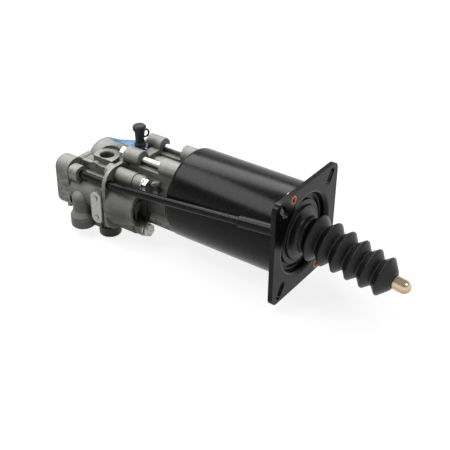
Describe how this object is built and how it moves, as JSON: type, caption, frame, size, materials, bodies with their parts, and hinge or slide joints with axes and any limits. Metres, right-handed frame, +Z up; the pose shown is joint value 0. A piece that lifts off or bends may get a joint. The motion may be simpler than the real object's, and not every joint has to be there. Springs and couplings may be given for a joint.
{
  "type": "clutch servo",
  "caption": "Air-assisted hydraulic clutch servo: black cylinder with a square slotted flange, rubber bellows over a push rod, and a cast control valve with a vent pipe.",
  "frame": {"origin": "centre of the mounting flange's front face, on the cylinder's middle line", "axes": "+X along the cylinder towards the push rod, +Z up on the bleed screw's side"},
  "size_m": [0.4169, 0.1343, 0.1256],
  "materials": {
    "black_paint": "gloss",
    "cast_aluminium": "cast",
    "zinc_steel": "bright zinc",
    "hard_steel": "ground",
    "spring_steel": "phosphated",
    "yellow_zinc": "yellow zinc",
    "copper": "satin",
    "bearing_bronze": "satin",
    "bellows_rubber": "matte",
    "seal_rubber": "matte",
    "cap_rubber": "satin",
    "gasket_fibre": "matte",
    "bearing_plastic": "matte",
    "black_plastic": "satin",
    "yellow_plastic": "satin",
    "blue_film": "translucent",
    "label_aluminium": "bright"
  },
  "bodies": {
    "servo_body": {"cylinder_tube": "black_paint", "mounting_flange": "black_paint", "flange_rivets": "copper", "vent_pipe_sleeve": "black_paint", "vent_pipe": "black_paint", "vent_pipe_seals": "seal_rubber", "preload_spring": "spring_steel", "cylinder_head": "cast_aluminium", "head_o_ring": "seal_rubber", "plunger_bush": "bearing_bronze", "hydraulic_housing": "cast_aluminium", "plunger_seal": "seal_rubber", "tie_bolts": "zinc_steel", "tie_bolt_washers": "zinc_steel", "bleed_screw": "zinc_steel", "dust_cap": "cap_rubber", "fluid_tag": "blue_film", "valve_housing": "cast_aluminium", "valve_gasket": "gasket_fibre", "valve_housing_screws": "zinc_steel", "valve_cap": "cast_aluminium", "valve_bolts": "zinc_steel", "valve_bolt_washers": "zinc_steel", "valve_seat": "bearing_bronze", "relay_spring": "spring_steel", "poppet_spring": "spring_steel", "rear_cover": "cast_aluminium", "cover_plug": "yellow_plastic", "exhaust_cap": "black_plastic", "exhaust_cap_ring": "yellow_plastic", "label_plate": "label_aluminium", "label_rivets": "label_aluminium"},
    "piston": {"power_piston": "cast_aluminium", "rod_pad": "hard_steel", "piston_seal": "seal_rubber", "piston_guide_ring": "bearing_plastic", "hydraulic_plunger": "hard_steel"},
    "bellows_swing": {"bellows": "bellows_rubber"},
    "push_rod_body": {"push_rod": "yellow_zinc"},
    "relay": {"relay_piston": "cast_aluminium", "relay_piston_ring": "seal_rubber"},
    "poppet": {"valve_poppet": "seal_rubber"}
  },
  "joints": [
    {"name": "piston_stroke", "type": "slide", "parent": "servo_body", "child": "piston", "axis": [1, 0, 0], "range_m": [-0.055, 0], "stiffness_N_per_m": 2000, "springref_m": 0.05, "deforming": ["preload_spring"]},
    {"name": "rod_swing", "type": "hinge", "parent": "servo_body", "child": "bellows_swing", "pos_m": [-0.01025, 0, 0], "axis": [0, -1, 0], "range_deg": [0, 16.8], "deforming": ["bellows"]},
    {"name": "rod_stroke", "type": "slide", "parent": "bellows_swing", "child": "push_rod_body", "axis": [0.9893, 0, -0.1461], "range_m": [-0.055, 0]},
    {"name": "valve_travel", "type": "slide", "parent": "servo_body", "child": "relay", "axis": [1, 0, 0], "range_m": [-0.0025, 0], "stiffness_N_per_m": 500, "springref_m": 0.004, "deforming": ["relay_spring"]},
    {"name": "poppet_lift", "type": "slide", "parent": "servo_body", "child": "poppet", "axis": [1, 0, 0], "range_m": [-0.0015, 0], "deforming": ["poppet_spring"]}
  ],
  "couplings": [
    {"joint": "rod_stroke", "follows": "piston_stroke", "ratio": 1},
    {"joint": "poppet_lift", "follows": "valve_travel", "ratio": 0.6}
  ]
}
